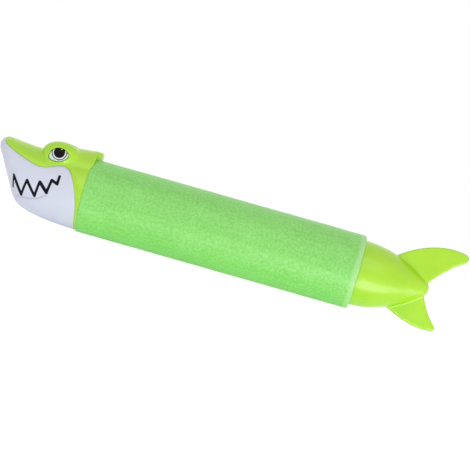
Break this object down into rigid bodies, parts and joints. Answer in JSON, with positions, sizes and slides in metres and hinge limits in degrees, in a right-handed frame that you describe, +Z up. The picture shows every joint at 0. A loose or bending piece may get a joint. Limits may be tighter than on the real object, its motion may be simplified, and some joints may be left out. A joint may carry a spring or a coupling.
{
  "type": "foam water squirter",
  "caption": "Hand pump water squirter with a foam sleeve round its barrel, a moulded shark head that holds the nozzle, and a shark tail as the plunger's handle.",
  "frame": {"origin": "middle of the flat strip under the foam sleeve, where the toy lies on a surface", "axes": "+X along the barrel from the nose to the tail, +Z up through the shark's back, -Y to the shark's left side"},
  "size_m": [0.3508, 0.055, 0.0618],
  "materials": {
    "sleeve_foam": "green closed-cell foam with a fine skin",
    "tube_plastic": "satin white",
    "face_plastic": "satin white",
    "lime_plastic": "glossy lime green",
    "eye_plastic": "glossy white with a printed pupil",
    "seal_rubber": "black"
  },
  "bodies": {
    "barrel": {"foam_sleeve": "sleeve_foam", "barrel_tube": "tube_plastic", "barrel_front_cap": "tube_plastic", "nozzle_tip": "tube_plastic", "rear_guide": "tube_plastic", "head_carrier": "tube_plastic", "face_shell": "face_plastic", "hood_shell": "lime_plastic", "left_eye": "eye_plastic", "right_eye": "eye_plastic"},
    "piston_seals": {"front_seal_ring": "seal_rubber", "rear_seal_ring": "seal_rubber"},
    "plunger": {"piston": "tube_plastic", "plunger_rod": "tube_plastic", "rod_end_plug": "tube_plastic", "tail_left_shell": "lime_plastic", "tail_right_shell": "lime_plastic"}
  },
  "joints": [
    {"name": "plunger_slide", "type": "slide", "parent": "barrel", "child": "piston_seals", "axis": [1, 0, 0], "range_m": [0, 0.185]},
    {"name": "plunger_turn", "type": "hinge", "parent": "piston_seals", "child": "plunger", "pos_m": [0, 0, 0.027], "axis": [1, 0, 0], "continuous": true}
  ]
}
